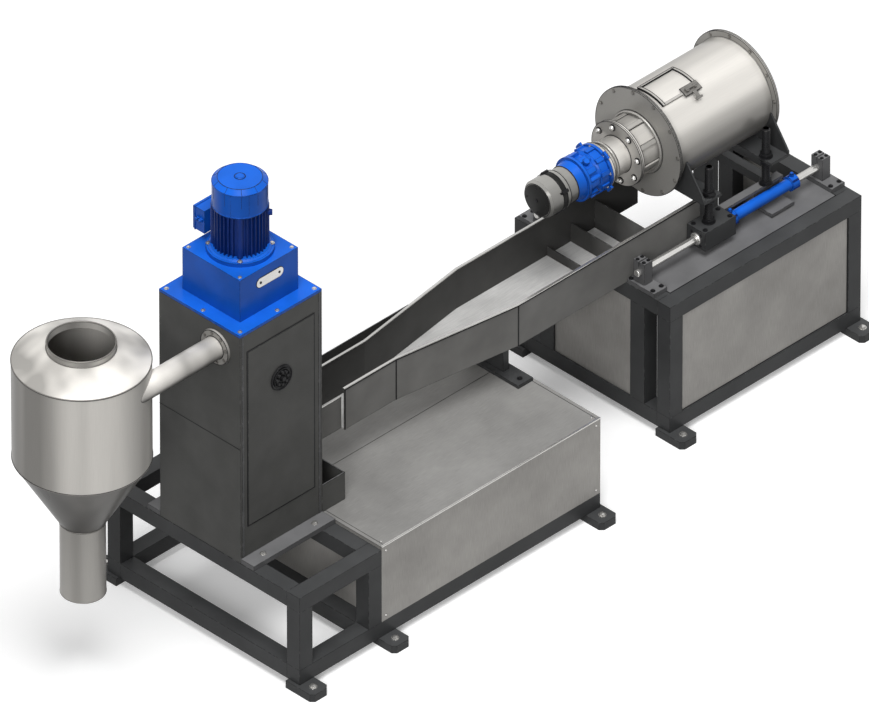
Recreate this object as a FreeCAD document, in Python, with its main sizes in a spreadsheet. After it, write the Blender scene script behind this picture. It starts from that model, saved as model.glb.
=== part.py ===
import FreeCAD, Part
import os
import re
import Sketcher

# Granulating line: a centrifugal dryer tower and its cyclone, a water tank with a launder over it,
# and a cutting drum that slides on two guide rods over a cabinet.
# +X runs from the tower to the cabinet, +Y away from the front, +Z up. Millimetres.
# The origin is on the floor under the front left corner of the tank frame.

SIZES = {
    # floor feet and square tube
    "foot_thick": 45, "foot_wide": 120, "foot_reach": 110, "foot_under": 80, "tube": 90,
    # tank frame and its tower bay
    "base_long": 2120, "base_wide": 1360, "base_high": 580, "bay_long": 575,
    # tank sheets, covers and gutter
    "sheet": 5, "tank_high": 600, "cover_seam": 664, "gutter_wide": 310, "gutter_deep": 230,
    # dryer tower
    "tower_gap": 2, "tower_front": 415, "tower_side": 570, "tower_top": 1960,
    "foot_bar_wide": 92, "foot_bar_thick": 28, "door_edge": 50, "door_thick": 4,
    "plate_thick": 15, "bonnet_side": 405, "bonnet_high": 253,
    # tower motor
    "flange_rad": 172, "flange_thick": 30, "core_rad": 120, "fin_rad": 138, "fin_thick": 6,
    "fin_high": 240, "cowl_rad": 141, "cowl_high": 138, "cowl_top_rad": 113, "cowl_bevel": 24,
    # transfer pipe and cyclone
    "pipe_rad": 62, "pipe_wall": 4, "pipe_front": 582, "pipe_high": 1828, "collar_rad": 98,
    "collar_thick": 14, "cyclone_left": 658, "cyclone_front": 862, "cyclone_rad": 350,
    "cyclone_wall": 5, "rim_high": 1945, "drum_wall_low": 1365, "cone_low": 961,
    "outlet_low": 528, "outlet_rad": 116, "neck_rad": 174, "neck_low": 2017, "neck_top": 2050,
    # launder
    "launder_axis": 730, "launder_low": 820, "launder_high": 250, "launder_sheet": 6,
    "launder_start": 930, "taper_start": 1290, "taper_end": 2045, "floor_end": 3036,
    "launder_end": 3340, "half_narrow": 113, "half_wide": 222, "weir_step": 170,
    "weir_low": 55, "weir_rise": 58,
    "chute_half": 90, "chute_high": 190, "box_long": 160, "box_high": 165,
    # launder stand on the tank
    "stand_bar_wide": 105, "stand_bar_thick": 20, "stand_front": 460, "stand_back": 1000,
    "stand_left": 2000, "riser_thick": 40, "riser_half": 130,
    # cabinet
    "cabinet_left": 2812, "cabinet_front": 195, "cabinet_long": 1370, "cabinet_wide": 1100,
    "cabinet_high": 820, "inner_post": 100, "deck_wide": 218, "deck_thick": 10, "cross_bar": 50,
    # guide rods, their supports and the carriage
    "axis_back": 790, "axis_high": 1360, "rod_off": 354, "rod_rad": 20, "rod_high": 910,
    "rod_fit": 0.08, "seat_fit": 0.3, "support_thick": 57, "support_wide": 78, "support_top": 62,
    "support_foot": 92, "foot_plate": 25, "foot_inner": 64, "foot_outer": 125,
    "carriage_room": 942, "block_long": 220, "block_half": 64, "block_low": 860, "block_high": 110,
    "plate_inner": 48, "bridge_long": 420, "bridge_thick": 16, "barrel_rad": 30, "cap_rad": 40,
    "cap_long": 45, "barrel_long": 487, "shoe_gap": 8, "shoe_thick": 18, "shoe_long": 160,
    # screws and drum brackets
    "screw_rad": 22, "screw_high": 340, "nut_rad": 36, "nut_high": 24, "front_screw": 90,
    "rear_screw": 528, "rear_inward": 30, "bracket_gap": 150, "bracket_thick": 15,
    "bracket_long": 130, "bracket_out": 390, "bracket_in": 150, "gusset_thick": 12,
    "gusset_high": 215, "gusset_in": 60,
    # cutting drum and drive
    "drum_ahead": 60, "bar_gap": 50, "drum_long": 706, "drum_rad": 265, "rim_rad": 300, "rim_thick": 16,
    "hub_rad": 150, "hub_long": 130, "ring_rad": 178, "ring_thick": 20, "neck_long": 150,
    "neck_tube": 102, "gear_rad": 118, "gear_long": 215, "drive_rad": 104, "drive_long": 200,
    "hatch_long": 250, "hatch_left": 45, "hatch_thick": 6,
}

# Places that follow from the sizes: the gutter from the tank frame's back, the carriage from the
# cabinet's right end, and the drum from the carriage.
PLACES = {
    "gutter_front": "(base_wide-gutter_wide)",
    "drum_left": "(block_left-drum_ahead)",
    "block_left": "(cabinet_left+cabinet_long-carriage_room)",
}

os.makedirs("parts", exist_ok=True)
doc = FreeCAD.newDocument("granulating_line")
sheet = doc.addObject("Spreadsheet::Sheet", "Sizes")
for row, (alias, size) in enumerate(SIZES.items(), start=1):
    sheet.set(f"A{row}", alias)
    sheet.set(f"B{row}", str(size))
    sheet.setAlias(f"B{row}", alias)
doc.recompute()

NODES = []
ALONG_X = FreeCAD.Rotation(FreeCAD.Vector(0, 1, 0), 90)


def bind(text):
    """Writes an expression of size and place names as one that reads the sheet."""
    text = str(text)
    for name, meaning in PLACES.items():
        text = re.sub(rf"\b{name}\b", meaning, text)
    return re.sub(r"[a-z_]+", lambda m: "Sizes." + m.group() if m.group() in SIZES else m.group(), text)


def measure(text):
    """The present value of an expression of size names."""
    value = sheet.evalExpression(bind(text))
    return float(getattr(value, "Value", value))


def place(piece, x, y, z):
    for axis, text in zip("xyz", (x, y, z)):
        piece.setExpression(f"Placement.Base.{axis}", bind(text))
    return piece


def block(x, y, z, long, wide, high):
    """A box from its lowest corner."""
    piece = doc.addObject("Part::Box", "Block")
    for name, text in (("Length", long), ("Width", wide), ("Height", high)):
        piece.setExpression(name, bind(text))
    return place(piece, x, y, z)


def rod(x, y, z, radius, long, rotation=FreeCAD.Rotation()):
    """A cylinder from the centre of its first end, upright unless it is turned."""
    piece = doc.addObject("Part::Cylinder", "Rod")
    piece.setExpression("Radius", bind(radius))
    piece.setExpression("Height", bind(long))
    piece.Placement = FreeCAD.Placement(FreeCAD.Vector(), rotation)
    return place(piece, x, y, z)


def fuse(*pieces):
    joined = doc.addObject("Part::MultiFuse", "Joined")
    joined.Shapes = list(pieces)
    return joined


def cut(piece, *tools):
    for tool in tools:
        result = doc.addObject("Part::Cut", "Cut")
        result.Base = piece
        result.Tool = tool
        piece = result
    return piece


def group(*pieces):
    """Like pieces that don't touch, kept as separate solids of one node."""
    bundle = doc.addObject("Part::Compound", "Group")
    bundle.Links = list(pieces)
    return bundle


def node(label, piece):
    piece.Label = label
    NODES.append(piece)
    return piece


def plane(body, role):
    return next(f for f in body.Origin.OriginFeatures if f.Role == role)


def profile(body, role, points):
    """A closed sketch whose corners are bound to the sheet."""
    sketch = body.newObject("Sketcher::SketchObject", "Profile")
    sketch.AttachmentSupport = [(plane(body, role), "")]
    sketch.MapMode = "FlatFace"
    spots = [FreeCAD.Vector(measure(a), measure(b), 0) for a, b in points]
    for i, spot in enumerate(spots):
        sketch.addGeometry(Part.LineSegment(spot, spots[(i + 1) % len(spots)]), False)
    for i, (a, b) in enumerate(points):
        sketch.addConstraint(Sketcher.Constraint("Coincident", i, 2, (i + 1) % len(points), 1))
        for kind, text, value in (("DistanceX", a, spots[i].x), ("DistanceY", b, spots[i].y)):
            number = sketch.addConstraint(Sketcher.Constraint(kind, -1, 1, i, 1, value))
            sketch.setExpression(f"Constraints[{number}]", bind(text))
    return sketch


def turned(points, axis="V_Axis"):
    """A body of revolution from points of its half section in the XZ plane."""
    body = doc.addObject("PartDesign::Body", "Turned")
    sketch = profile(body, "XZ_Plane", points)
    turn = body.newObject("PartDesign::Revolution", "Turn")
    turn.Profile = sketch
    turn.ReferenceAxis = (sketch, [axis])
    turn.Angle = 360
    body.Tip = turn
    return body


def raised(points, high, role="XY_Plane"):
    """A plate with the given outline, padded along its plane's normal."""
    body = doc.addObject("PartDesign::Body", "Plate")
    pad = body.newObject("PartDesign::Pad", "Pad")
    pad.Profile = profile(body, role, points)
    pad.setExpression("Length", bind(high))
    body.Tip = pad
    return body


def foot(x, y, toward):
    """A floor pad with clipped outer corners, under a rail and reaching out past it."""
    out = [("0", "0"), ("foot_wide", "0"), ("foot_wide", "foot_under+foot_reach-20"),
           ("foot_wide-20", "foot_under+foot_reach"), ("20", "foot_under+foot_reach"),
           ("0", "foot_under+foot_reach-20")]
    body = raised(out, "foot_thick")
    if toward < 0:
        body.Placement = FreeCAD.Placement(FreeCAD.Vector(), FreeCAD.Rotation(180, 0, 0))
        return place(body, f"{x}+foot_wide", f"{y}+foot_under", "0")
    return place(body, x, f"{y}-foot_under", "0")


def feet(lefts, front, back):
    pads = [foot(x, front, -1) for x in lefts] + [foot(x, back, 1) for x in lefts]
    return group(*pads)


def tank_frame():
    low, top = "foot_thick", "base_high-tube"
    node("frame_feet", feet(["-20", "bay_long-20", "base_long-foot_wide+20"], "0", "base_wide"))
    backs = ("0", "base_wide-tube")
    node("frame_rails", group(
        *[block("0", y, low, "base_long", "tube", "tube") for y in backs],
        *[block("0", y, top, "bay_long", "tube", "tube") for y in backs]))
    crosses = ["0", "bay_long-tube", "base_long-tube"]
    node("frame_crossbars", group(
        *[block(x, "tube", low, "tube", "base_wide-2*tube", "tube") for x in crosses],
        *[block(x, "tube", top, "tube", "base_wide-2*tube", "tube") for x in crosses[:2]]))
    posts = [(x, y) for x in ("0", "bay_long-tube") for y in backs]
    node("frame_posts", group(
        *[block(x, y, "foot_thick+tube", "tube", "tube", "base_high-foot_thick-2*tube") for x, y in posts]))


def tank():
    low = "foot_thick+tube"
    long, high = "base_long-bay_long", "tank_high-sheet-foot_thick-tube"
    node("tank_front_sheet", block("bay_long", "0", low, long, "sheet", high))
    node("tank_end_sheets", group(
        block("bay_long", "sheet", low, "sheet", "gutter_front-2*sheet", high),
        block("base_long-sheet", "sheet", low, "sheet", "gutter_front-2*sheet", high)))
    node("tank_back_sheet", block("bay_long", "gutter_front-sheet", low, long, "sheet", high))
    top = "tank_high-sheet"
    node("tank_front_cover", block("bay_long", "0", top, long, "cover_seam-2", "sheet"))
    node("tank_rear_cover", block("bay_long", "cover_seam", top, long, "gutter_front-cover_seam", "sheet"))
    gutter = block("bay_long", "gutter_front", "tank_high-gutter_deep", long, "base_wide-gutter_front", "gutter_deep")
    hollow = block("bay_long+sheet", "gutter_front+sheet", "tank_high-gutter_deep+sheet",
                   f"{long}-2*sheet", "base_wide-gutter_front-2*sheet", "gutter_deep")
    node("rear_gutter", cut(gutter, hollow))
    node("gutter_legs", group(*[
        block(x, "base_wide-tube", low, "tube", "tube", "tank_high-gutter_deep-foot_thick-tube")
        for x in ("bay_long+tube", "base_long-tube")]))


def tower():
    left, front, side = "tower_gap", "tower_front", "tower_side"
    node("tower_foot_bars", group(
        block(left, "tower_front-foot_bar_wide", "base_high", side, "foot_bar_wide", "foot_bar_thick"),
        block(left, "tower_front+tower_side", "base_high", side, "foot_bar_wide", "foot_bar_thick")))
    node("tower_housing", block(left, front, "base_high", side, side, "tower_top-base_high"))
    node("tower_door", block("tower_gap+door_edge", "tower_front-door_thick", "base_high+door_edge+45",
                             "tower_side-2*door_edge", "door_thick", "tower_top-base_high-2*door_edge-60"))
    node("tower_top_plate", block(left, front, "tower_top", side, side, "plate_thick"))
    inset = "(tower_side-bonnet_side)/2"
    node("motor_bonnet", block(f"tower_gap+{inset}", f"tower_front+{inset}", "tower_top+plate_thick",
                               "bonnet_side", "bonnet_side", "bonnet_high"))


def tower_motor():
    x, y = "tower_gap+tower_side/2", "tower_front+tower_side/2"
    low = "tower_top+plate_thick+bonnet_high"
    flange = turned([("0", "0"), ("flange_rad", "0"), ("flange_rad", "flange_thick*0.7"),
                     ("flange_rad-12", "flange_thick*0.7"), ("flange_rad-24", "flange_thick"), ("0", "flange_thick")])
    node("motor_flange", place(flange, x, y, low))
    barrel = turned([("0", "0"), ("core_rad", "0"), ("core_rad", "fin_high"), ("0", "fin_high")])
    fin = barrel.newObject("PartDesign::Pad", "Fin")
    fin.Profile = profile(barrel, "XY_Plane", [
        ("core_rad-6", "-fin_thick/2"), ("fin_rad", "-fin_thick/2"),
        ("fin_rad", "fin_thick/2"), ("core_rad-6", "fin_thick/2")])
    fin.setExpression("Length", bind("fin_high"))
    ring = barrel.newObject("PartDesign::PolarPattern", "Fins")
    ring.Originals = [fin]
    ring.Axis = (plane(barrel, "Z_Axis"), [""])
    ring.Angle = 360
    ring.Occurrences = 36
    barrel.Tip = ring
    node("motor_fins", place(barrel, x, y, f"{low}+flange_thick"))
    cowl = turned([("0", "0"), ("cowl_rad", "0"), ("cowl_rad", "cowl_high"),
                   ("cowl_top_rad", "cowl_high+cowl_bevel"), ("0", "cowl_high+cowl_bevel")])
    node("motor_cowl", place(cowl, x, y, f"{low}+flange_thick+fin_high"))
    back = "tower_front+tower_side/2+fin_rad"
    neck = block("tower_gap+tower_side/2-50", f"{back}", f"{low}+70", "80", "22", "90")
    lid = block("tower_gap+tower_side/2-90", f"{back}+22", f"{low}+45", "175", "80", "136")
    node("motor_terminal_box", fuse(neck, lid))


def cyclone():
    wall = "cyclone_wall"
    outline = [("outlet_rad", "cone_low"), ("cyclone_rad", "drum_wall_low"),
               ("cyclone_rad", "rim_high"), ("neck_rad", "neck_low"), ("neck_rad", "neck_top")]
    inner = [(f"{radius}-{wall}", height) for radius, height in reversed(outline)]
    inner[2] = ("cyclone_rad-cyclone_wall", "rim_high-cyclone_wall")
    inner[1] = ("neck_rad-cyclone_wall", "neck_low-cyclone_wall")
    shell = place(turned(outline + inner), "-cyclone_left", "cyclone_front", "0")
    inlet = rod("-cyclone_left", "pipe_front", "pipe_high", "pipe_rad-pipe_wall", "cyclone_rad+60", ALONG_X)
    node("cyclone_shell", cut(shell, inlet))
    centre = ("-cyclone_left", "cyclone_front")
    node("cyclone_outlet_pipe", cut(rod(*centre, "outlet_low", "outlet_rad", "cone_low-outlet_low"),
                                    rod(*centre, "outlet_low-5", f"outlet_rad-{wall}", "cone_low-outlet_low+10")))
    reach = "cyclone_left+tower_gap-collar_thick"
    tube = cut(rod("-cyclone_left", "pipe_front", "pipe_high", "pipe_rad", reach, ALONG_X),
               rod("-cyclone_left-5", "pipe_front", "pipe_high", "pipe_rad-pipe_wall", f"{reach}+10", ALONG_X),
               rod("-cyclone_left", "cyclone_front", "drum_wall_low-50", "cyclone_rad",
                   "rim_high-drum_wall_low+100"))
    node("transfer_pipe", tube)
    node("pipe_collar", rod("tower_gap-collar_thick", "pipe_front", "pipe_high", "collar_rad", "collar_thick", ALONG_X))


def launder():
    corners = [("launder_start", "half_narrow"), ("taper_start", "half_narrow"),
               ("taper_end", "half_wide"), ("launder_end", "half_wide")]
    walls = []
    for sign in ("-", "+"):
        outer = [(x, f"launder_axis{sign}{half}") for x, half in corners]
        inner = [(x, f"launder_axis{sign}({half}-launder_sheet)") for x, half in reversed(corners)]
        walls.append(place(raised(outer + inner, "launder_high"), "0", "0", "launder_low"))
    node("launder_walls", group(*walls))
    ends = corners[:3] + [("floor_end", "half_wide")]
    front = [(x, f"launder_axis-({half}-launder_sheet)") for x, half in ends]
    back = [(x, f"launder_axis+({half}-launder_sheet)") for x, half in reversed(ends)]
    node("launder_floor", place(raised(front + back, "launder_sheet"), "0", "0", "launder_low"))
    span = "2*(half_wide-launder_sheet)"
    node("launder_weirs", group(*[
        block(f"floor_end-launder_sheet-{2 - i}*weir_step", "launder_axis-half_wide+launder_sheet",
              "launder_low+launder_sheet", "launder_sheet", span, f"weir_low+{i}*weir_rise") for i in range(3)]))
    start, long = "tower_gap+tower_side", "launder_start-tower_gap-tower_side"
    low = "launder_low"
    chute = cut(block(start, "launder_axis-chute_half", low, long, "2*chute_half", "chute_high"),
                block(f"{start}-1", "launder_axis-chute_half+launder_sheet", f"{low}+launder_sheet",
                      f"{long}+2", "2*(chute_half-launder_sheet)", "chute_high"))
    node("inlet_chute", chute)
    box = cut(block(start, "tower_front", "tank_high", "box_long", "tower_side", "box_high"),
              block(f"{start}+launder_sheet", "tower_front+launder_sheet", "tank_high+launder_sheet",
                    "box_long-2*launder_sheet", "tower_side-2*launder_sheet", "box_high"))
    node("drain_box", box)
    node("launder_stand", fuse(
        block("stand_left", "stand_front", "tank_high", "stand_bar_wide", "stand_back-stand_front", "stand_bar_thick"),
        block("stand_left+stand_bar_wide/2-riser_thick/2", "launder_axis-riser_half", "tank_high",
              "riser_thick", "2*riser_half", "launder_low-tank_high")))


def cabinet():
    left, front = "cabinet_left", "cabinet_front"
    right, back = "cabinet_left+cabinet_long-tube", "cabinet_front+cabinet_wide-tube"
    low, top = "foot_thick", "cabinet_high-tube"
    clear = "cabinet_high-foot_thick-2*tube"
    node("cabinet_feet", feet(["cabinet_left-20", "cabinet_left+cabinet_long-foot_wide+20"], front,
                              "cabinet_front+cabinet_wide"))
    levels = (low, top)
    node("cabinet_rails", group(
        *[block(left, y, z, "cabinet_long", "tube", "tube") for z in levels for y in (front, back)]))
    node("cabinet_crossbars", group(
        *[block(x, "cabinet_front+tube", z, "tube", "cabinet_wide-2*tube", "tube")
          for z in levels for x in (left, right)]))
    inner = ["cabinet_front+2*tube", "cabinet_front+cabinet_wide-2*tube-inner_post"]
    node("cabinet_posts", group(
        *[block(x, y, "foot_thick+tube", "tube", "tube", clear) for x in (left, right) for y in (front, back)],
        *[block(x, y, "foot_thick+tube", "tube", "inner_post", clear) for x in (left, right) for y in inner]))
    node("cabinet_front_sheet", block("cabinet_left+tube", "cabinet_front+8", "foot_thick+tube",
                                      "cabinet_long-2*tube", "sheet", clear))
    span = "cabinet_wide-4*tube-2*inner_post"
    node("cabinet_end_sheets", group(*[
        block(x, "cabinet_front+2*tube+inner_post", "foot_thick+tube", "sheet", span, clear)
        for x in ("cabinet_left+8", "cabinet_left+cabinet_long-8-sheet")]))
    deck = block("cabinet_left+tube", "cabinet_front+tube", "cabinet_high-deck_thick",
                 "cabinet_long-2*tube", "deck_wide", "deck_thick")
    node("cabinet_deck", deck)
    node("cabinet_drum_bar", block("drum_left+drum_long+bar_gap", "cabinet_front+tube+deck_wide", "cabinet_high-cross_bar",
                                   "cross_bar", "cabinet_wide-2*tube-deck_wide", "cross_bar"))


def across(near, inner, outer):
    """The lowest Y of a band from inner to outer off the drum's axis, on the near or the far side."""
    return f"axis_back-({outer})" if near else f"axis_back+({inner})"


def rod_support(x, near):
    """A clamp block for one end of a guide rod, on a foot plate that stands on the cabinet's crossbar."""
    inner, outer = "rod_off-foot_inner", "rod_off+foot_outer"
    plate = block(f"{x}-(support_foot-support_thick)/2", across(near, inner, outer), "cabinet_high",
                  "support_foot", "foot_inner+foot_outer", "foot_plate")
    upright = block(x, across(near, "rod_off-support_wide/2", "rod_off+support_wide/2"), "cabinet_high",
                    "support_thick", "support_wide", "rod_high-cabinet_high+support_top")
    centre = across(near, "rod_off", "rod_off")
    bore = rod(f"{x}-5", centre, "rod_high", "rod_rad+seat_fit", "support_thick+10", ALONG_X)
    slot = block(f"{x}-5", f"{centre}-3", "rod_high", "support_thick+10", "6", "support_top+10")
    return cut(fuse(plate, upright), bore, slot)


def guides():
    first = "cabinet_left+20"
    last = "cabinet_left+cabinet_long-20-support_thick"
    node("rod_supports", group(*[rod_support(x, near) for near in (True, False) for x in (first, last)]))
    node("guide_rods", group(*[
        rod("cabinet_left+6", across(near, "rod_off", "rod_off"), "rod_high", "rod_rad", "cabinet_long-12", ALONG_X)
        for near in (True, False)]))


def carriage_side(near):
    """One side of the sliding carriage: a bored block, the cylinder's barrel, and a bridge with its shoe."""
    centre = across(near, "rod_off", "rod_off")
    inner, outer = "rod_off-block_half", "rod_off+block_half"
    bore = rod("block_left-5", centre, "rod_high", "rod_rad+rod_fit", "block_long+10", ALONG_X)
    body = block("block_left", across(near, inner, outer), "block_low", "block_long", "2*block_half", "block_high")
    start = "block_left+block_long"
    step = "cap_long"
    barrel = turned([("0", "rod_rad+rod_fit"), ("0", "cap_rad"), (step, "cap_rad"), (step, "barrel_rad"),
                     (f"barrel_long-{step}", "barrel_rad"), (f"barrel_long-{step}", "cap_rad"),
                     ("barrel_long", "cap_rad"), ("barrel_long", "rod_rad+rod_fit")], "H_Axis")
    top = "block_low+block_high"
    bridge = block(start, across(near, inner, "rod_off-block_half+plate_inner"), f"{top}-bridge_thick",
                   "bridge_long", "plate_inner", "bridge_thick")
    web_low = "cabinet_high+shoe_gap"
    web = block("block_left+block_long+bridge_long-shoe_long", across(near, inner, "rod_off-cap_rad-3"), web_low,
                "shoe_long", "block_half-cap_rad-3", f"{top}-({web_low})")
    shoe = block("block_left+block_long+bridge_long-shoe_long", across(near, inner, outer), web_low,
                 "shoe_long", "2*block_half", "shoe_thick")
    return cut(body, bore), place(barrel, start, centre, "rod_high"), fuse(bridge, web, shoe)


def carriage():
    front, back = carriage_side(True), carriage_side(False)
    for name, pair in zip(("carriage_blocks", "carriage_cylinders", "carriage_bridges"), zip(front, back)):
        node(name, group(*pair))


def nut(x, y, z):
    """A hexagon nut from the centre of its lower face."""
    piece = doc.addObject("Part::Prism", "Nut")
    piece.Polygon = 6
    piece.setExpression("Circumradius", bind("nut_rad"))
    piece.setExpression("Height", bind("nut_high"))
    return place(piece, x, y, z)


def screw(x, y):
    """A threaded rod that stands on the carriage with a nut at its foot and two that clamp a bracket."""
    top = "block_low+block_high"
    nuts = [nut(x, y, f"{top}+{level}") for level in ("0", "bracket_gap-nut_high", "bracket_gap+bracket_thick")]
    return fuse(rod(x, y, top, "screw_rad", "screw_high"), *nuts)


def bracket(near, x, screw_x, screw_y, gusset_x):
    """A drum bracket: a flat foot with a hole for its screw, and a triangular gusset against the drum."""
    low = "block_low+block_high+bracket_gap"
    foot_plate = block(x, across(near, "bracket_in", "bracket_out"), low, "bracket_long",
                       "bracket_out-bracket_in", "bracket_thick")
    sign = "-" if near else "+"
    outline = [(f"axis_back{sign}bracket_out", low), (f"axis_back{sign}bracket_out", f"{low}+bracket_thick+15"),
               (f"axis_back{sign}(drum_rad-8)", f"{low}+gusset_high"),
               (f"axis_back{sign}gusset_in", f"{low}+gusset_high"), (f"axis_back{sign}gusset_in", low)]
    gusset = place(raised(outline, "gusset_thick", "YZ_Plane"), gusset_x, "0", "0")
    drum = rod("drum_left", "axis_back", "axis_high", "drum_rad", "drum_long", ALONG_X)
    hole = rod(screw_x, screw_y, f"{low}-5", "screw_rad+seat_fit", "bracket_thick+10")
    return cut(fuse(foot_plate, gusset), drum, hole)


def drum_supports():
    rear_x = "block_left+rear_screw"
    front_x = "block_left+front_screw"
    screws, brackets = [], []
    for near in (True, False):
        front_y = across(near, "rod_off", "rod_off")
        rear_y = across(near, "rod_off-rear_inward", "rod_off-rear_inward")
        screws += [screw(front_x, front_y), screw(rear_x, rear_y)]
        left = "drum_left+rim_thick+60"
        right = "drum_left+drum_long-rim_thick-bracket_long"
        brackets += [bracket(near, left, front_x, front_y, left),
                     bracket(near, right, rear_x, rear_y, f"{right}+bracket_long-gusset_thick")]
    node("drum_screws", group(*screws))
    node("drum_brackets", group(*brackets))


def drum():
    node("drum_shell", rod("drum_left+rim_thick", "axis_back", "axis_high", "drum_rad",
                           "drum_long-2*rim_thick", ALONG_X))
    node("drum_flanges", group(*[
        rod(x, "axis_back", "axis_high", "rim_rad", "rim_thick", ALONG_X)
        for x in ("drum_left", "drum_left+drum_long-rim_thick")]))
    hatch = cut(rod("drum_left+rim_thick+hatch_left", "axis_back", "axis_high", "drum_rad+hatch_thick",
                    "hatch_long", ALONG_X),
                rod("drum_left+rim_thick+hatch_left-5", "axis_back", "axis_high", "drum_rad",
                    "hatch_long+10", ALONG_X),
                block("drum_left", "axis_back-2*drum_rad", "axis_high-2*drum_rad", "drum_long",
                      "4*drum_rad", "2*drum_rad+drum_rad*0.86"))
    node("drum_hatch", hatch)
    hub = turned([("-hub_long-ring_thick", "0"), ("-hub_long-ring_thick", "ring_rad"), ("-hub_long", "ring_rad"),
                  ("-hub_long", "hub_rad"), ("0", "hub_rad"), ("0", "0")], "H_Axis")
    node("drum_bearing_hub", place(hub, "drum_left", "axis_back", "axis_high"))
    face = "drum_left-hub_long-ring_thick"
    neck = turned([("-neck_long", "0"), ("-neck_long", "neck_tube+22"), ("-neck_long+16", "neck_tube+22"),
                   ("-neck_long+16", "neck_tube"), ("0", "neck_tube"), ("0", "0")], "H_Axis")
    node("drive_neck", place(neck, face, "axis_back", "axis_high"))
    gear = turned([("-gear_long", "0"), ("-gear_long", "gear_rad-22"), ("-gear_long+50", "gear_rad-10"),
                   ("-gear_long+50", "gear_rad+4"), ("-gear_long+68", "gear_rad+4"), ("-gear_long+68", "gear_rad-14"),
                   ("-gear_long+130", "gear_rad-14"), ("-gear_long+146", "gear_rad"), ("-18", "gear_rad"),
                   ("-18", "gear_rad+10"), ("0", "gear_rad+10"), ("0", "0")], "H_Axis")
    node("drive_gearbox", place(gear, f"{face}-neck_long", "axis_back", "axis_high"))
    motor = turned([("-drive_long", "0"), ("-drive_long", "drive_rad-14"), ("-drive_long+14", "drive_rad"),
                    ("-62", "drive_rad"), ("-62", "drive_rad-8"), ("0", "drive_rad-8"), ("0", "0")], "H_Axis")
    node("drive_motor", place(motor, f"{face}-neck_long-gear_long", "axis_back", "axis_high"))


tank_frame()
tank()
tower()
tower_motor()
cyclone()
launder()
cabinet()
guides()
carriage()
drum_supports()
drum()
doc.recompute()

for piece in doc.Objects:
    if "Invalid" in piece.State or "Error" in piece.State:
        raise RuntimeError(f"{piece.Label} failed: {piece.State}")
for piece in NODES:
    if piece.Shape.isNull() or not piece.Shape.isValid() or not piece.Shape.Solids:
        raise RuntimeError(f"{piece.Label} has no valid solid")
for piece in NODES:
    piece.Shape.exportStep(f"parts/{piece.Label}.step")
print(len(NODES), "nodes written")
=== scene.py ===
"""Looks of the granulating line: materials, fasteners, trim, threads, studio and camera. Metres."""
import math

import bmesh
import bpy
from mathutils import Matrix, Vector

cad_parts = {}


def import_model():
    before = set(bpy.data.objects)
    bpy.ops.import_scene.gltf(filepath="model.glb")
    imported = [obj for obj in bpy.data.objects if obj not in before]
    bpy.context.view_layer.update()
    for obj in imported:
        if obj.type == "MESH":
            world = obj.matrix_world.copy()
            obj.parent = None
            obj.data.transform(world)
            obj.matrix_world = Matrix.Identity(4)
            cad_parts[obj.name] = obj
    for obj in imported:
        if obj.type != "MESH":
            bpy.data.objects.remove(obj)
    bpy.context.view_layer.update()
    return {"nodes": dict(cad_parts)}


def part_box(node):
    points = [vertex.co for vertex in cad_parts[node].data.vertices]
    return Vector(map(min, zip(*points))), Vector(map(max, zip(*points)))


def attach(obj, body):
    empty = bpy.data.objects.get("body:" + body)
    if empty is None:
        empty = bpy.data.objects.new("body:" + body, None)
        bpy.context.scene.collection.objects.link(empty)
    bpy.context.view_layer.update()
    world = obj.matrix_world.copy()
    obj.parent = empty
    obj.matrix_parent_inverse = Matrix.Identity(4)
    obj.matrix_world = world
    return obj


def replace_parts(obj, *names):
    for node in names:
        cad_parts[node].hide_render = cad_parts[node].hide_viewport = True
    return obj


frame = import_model()
NODES = frame["nodes"]
UP = Vector((0, 0, 1))
EAST, WEST = Vector((1, 0, 0)), Vector((-1, 0, 0))
NORTH, SOUTH = Vector((0, 1, 0)), Vector((0, -1, 0))


# Materials

# The second is the reach of the painted shade along sheet edges and creases.
EDGE_ROUNDING, SHEET_EDGE_SHADE = 0.002, 0.0035
# Between these two lines a paint with a far tone darkens to it, as painted shade on the far side, such as
# the launder's far wall
FAR_SHADE_FROM, FAR_SHADE_TO = 0.66, 0.80
WHITE = (1, 1, 1)


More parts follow.
